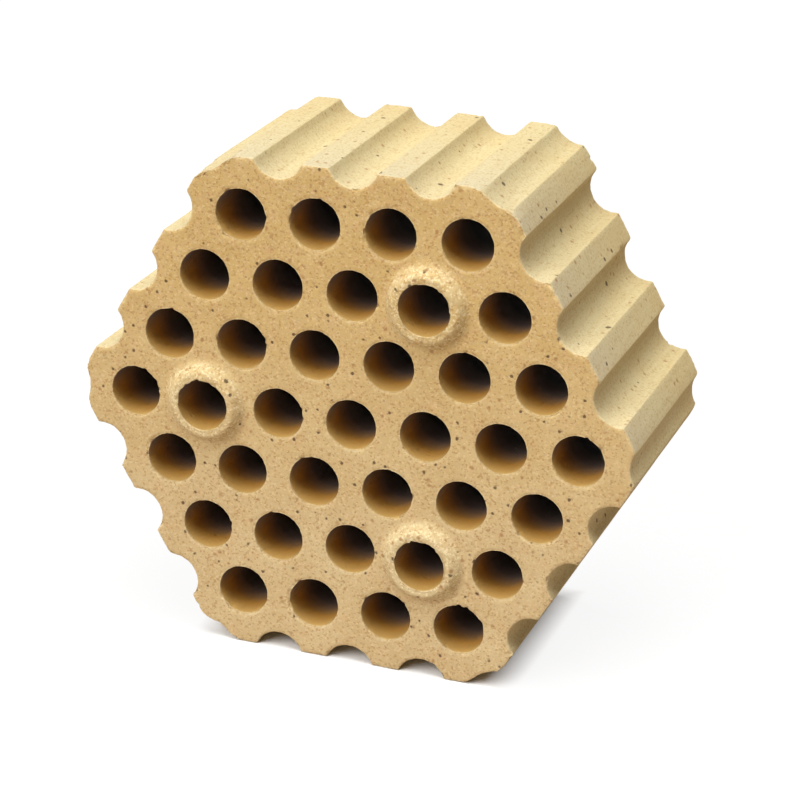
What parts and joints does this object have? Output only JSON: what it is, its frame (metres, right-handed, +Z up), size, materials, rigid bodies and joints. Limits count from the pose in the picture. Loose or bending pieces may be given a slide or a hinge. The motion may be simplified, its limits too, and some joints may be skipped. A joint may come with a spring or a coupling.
{
  "type": "refractory checker brick",
  "caption": "Hexagonal fired ceramic checker brick with round gas channels, grooved sides and raised locating bosses, for stacking in a heat-storing stove.",
  "frame": {"origin": "centre of the bounding box on the floor, under the side flats that the brick stands on", "axes": "+Z up; the channels run along Y, with the boss face towards -Y and the back face towards +Y; +X to the right seen from the boss face"},
  "size_m": [0.3062, 0.126, 0.275],
  "materials": {
    "fired_refractory": "matte, granular fired refractory, tan with dark specks"
  },
  "bodies": {
    "root": {"checker_brick": "fired_refractory"}
  },
  "joints": []
}
